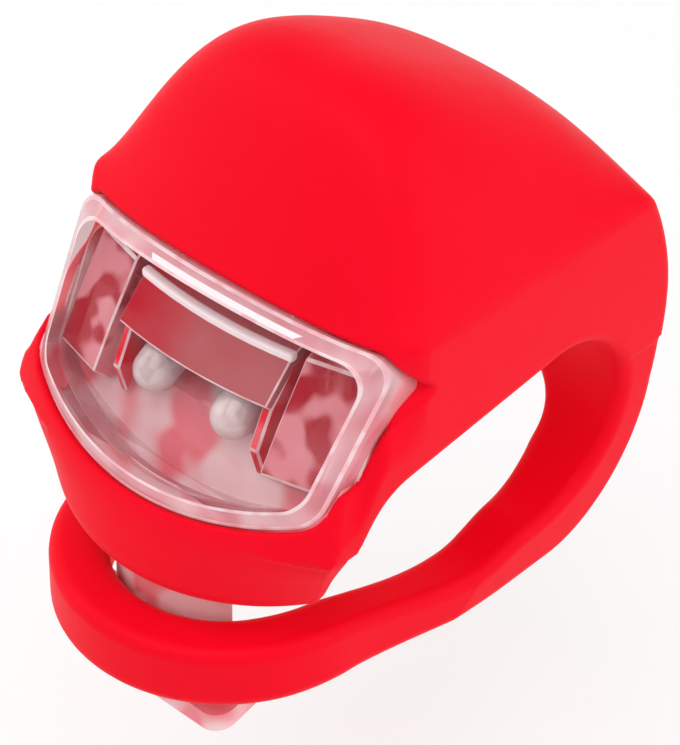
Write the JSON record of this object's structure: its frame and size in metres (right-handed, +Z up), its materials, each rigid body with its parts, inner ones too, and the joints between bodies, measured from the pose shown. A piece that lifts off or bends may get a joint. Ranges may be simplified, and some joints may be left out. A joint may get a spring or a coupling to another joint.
{
  "type": "wrap-on bicycle light",
  "caption": "Small silicone bicycle light with a clear lens over lamps on a slanted front, a press-down dome and a stretch strap that wraps the bar and hooks over a tab.",
  "frame": {"origin": "centre of the loop that grips the bar, midway across the width", "axes": "+X along the bar, +Z up through the dome, the lamps look along -Y"},
  "size_m": [0.0286, 0.0397, 0.0412],
  "materials": {
    "red_silicone": "satin",
    "clear_plastic": "gloss",
    "lamp_epoxy": "gloss",
    "tinned_wire": "satin",
    "board_green": "satin",
    "black_plastic": "matte",
    "white_plastic": "satin",
    "cell_steel": "satin",
    "spring_steel": "bright"
  },
  "bodies": {
    "lamp": {"silicone_hood": "red_silicone", "lens_cover": "clear_plastic", "case_base": "clear_plastic", "light_box": "clear_plastic", "led_left": "lamp_epoxy", "led_right": "lamp_epoxy", "led_leads": "tinned_wire", "circuit_board": "board_green", "control_chip": "black_plastic", "resistors": "black_plastic", "switch_body": "black_plastic", "switch_cover": "spring_steel", "switch_dome": "spring_steel", "battery_upper": "cell_steel", "battery_lower": "cell_steel", "contact_positive": "spring_steel", "contact_negative": "spring_steel", "battery_tray": "white_plastic"},
    "strap": {"silicone_strap": "red_silicone"},
    "button": {"button_cap": "white_plastic", "switch_plunger": "black_plastic"}
  },
  "joints": [
    {"name": "strap_swing", "type": "hinge", "parent": "lamp", "child": "strap", "pos_m": [0, 0.0089, 0.0015], "axis": [1, 0, 0], "range_deg": [0, 65], "stiffness_Nm_per_rad": 0.02, "deforming": ["silicone_strap"]},
    {"name": "button_press", "type": "slide", "parent": "lamp", "child": "button", "axis": [0, 0, -1], "range_m": [0, 0.0004], "stiffness_N_per_m": 500, "springref_m": -0.0004, "deforming": ["switch_dome"]}
  ]
}
